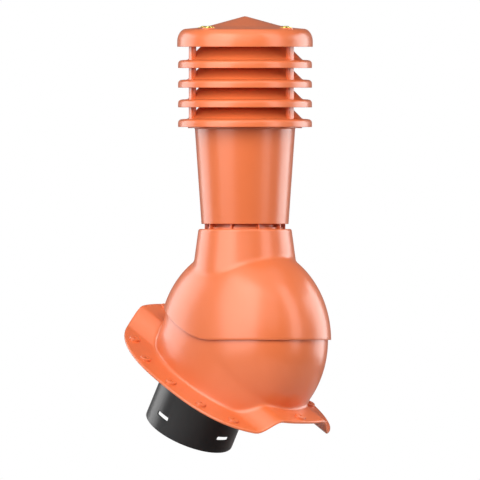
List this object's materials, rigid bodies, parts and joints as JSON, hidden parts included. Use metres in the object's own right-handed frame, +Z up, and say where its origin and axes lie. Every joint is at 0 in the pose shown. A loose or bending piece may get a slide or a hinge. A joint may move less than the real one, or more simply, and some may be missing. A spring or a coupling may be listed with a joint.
{
  "type": "roof ventilation chimney",
  "caption": "Roof ventilation chimney: louvred cowl on a tapered neck, a ball joint that sets it plumb, and a wave-shaped tile flashing with a spigot below.",
  "frame": {"origin": "where the spigot's axis meets the plane of the roof covering that the flashing's low bands lie on", "axes": "+Z up, -Y horizontally down the slope of a 30 degree roof, +X across the slope; the roof plane rises towards +Y"},
  "size_m": [0.2916, 0.3545, 0.7127],
  "materials": {
    "terracotta_plastic": "satin, through-coloured terracotta orange with a fine moulded texture",
    "black_plastic": "satin black",
    "yellow_zinc": "yellow passivated zinc plate on steel"
  },
  "bodies": {
    "base": {"base_flashing": "terracotta_plastic", "spigot_pipe": "black_plastic"},
    "stack": {"hood": "terracotta_plastic", "neck_pipe": "terracotta_plastic", "louvre_ring_1": "terracotta_plastic", "louvre_ring_2": "terracotta_plastic", "louvre_ring_3": "terracotta_plastic", "louvre_ring_4": "terracotta_plastic", "cap": "terracotta_plastic", "cap_screw_1": "yellow_zinc", "cap_screw_2": "yellow_zinc", "cap_screw_3": "yellow_zinc", "cap_screw_4": "yellow_zinc"}
  },
  "joints": [
    {"name": "hood_tilt", "type": "hinge", "parent": "base", "child": "stack", "pos_m": [0, -0.07297, 0.04979], "axis": [1, 0, 0], "range_deg": [-10, 15]}
  ]
}
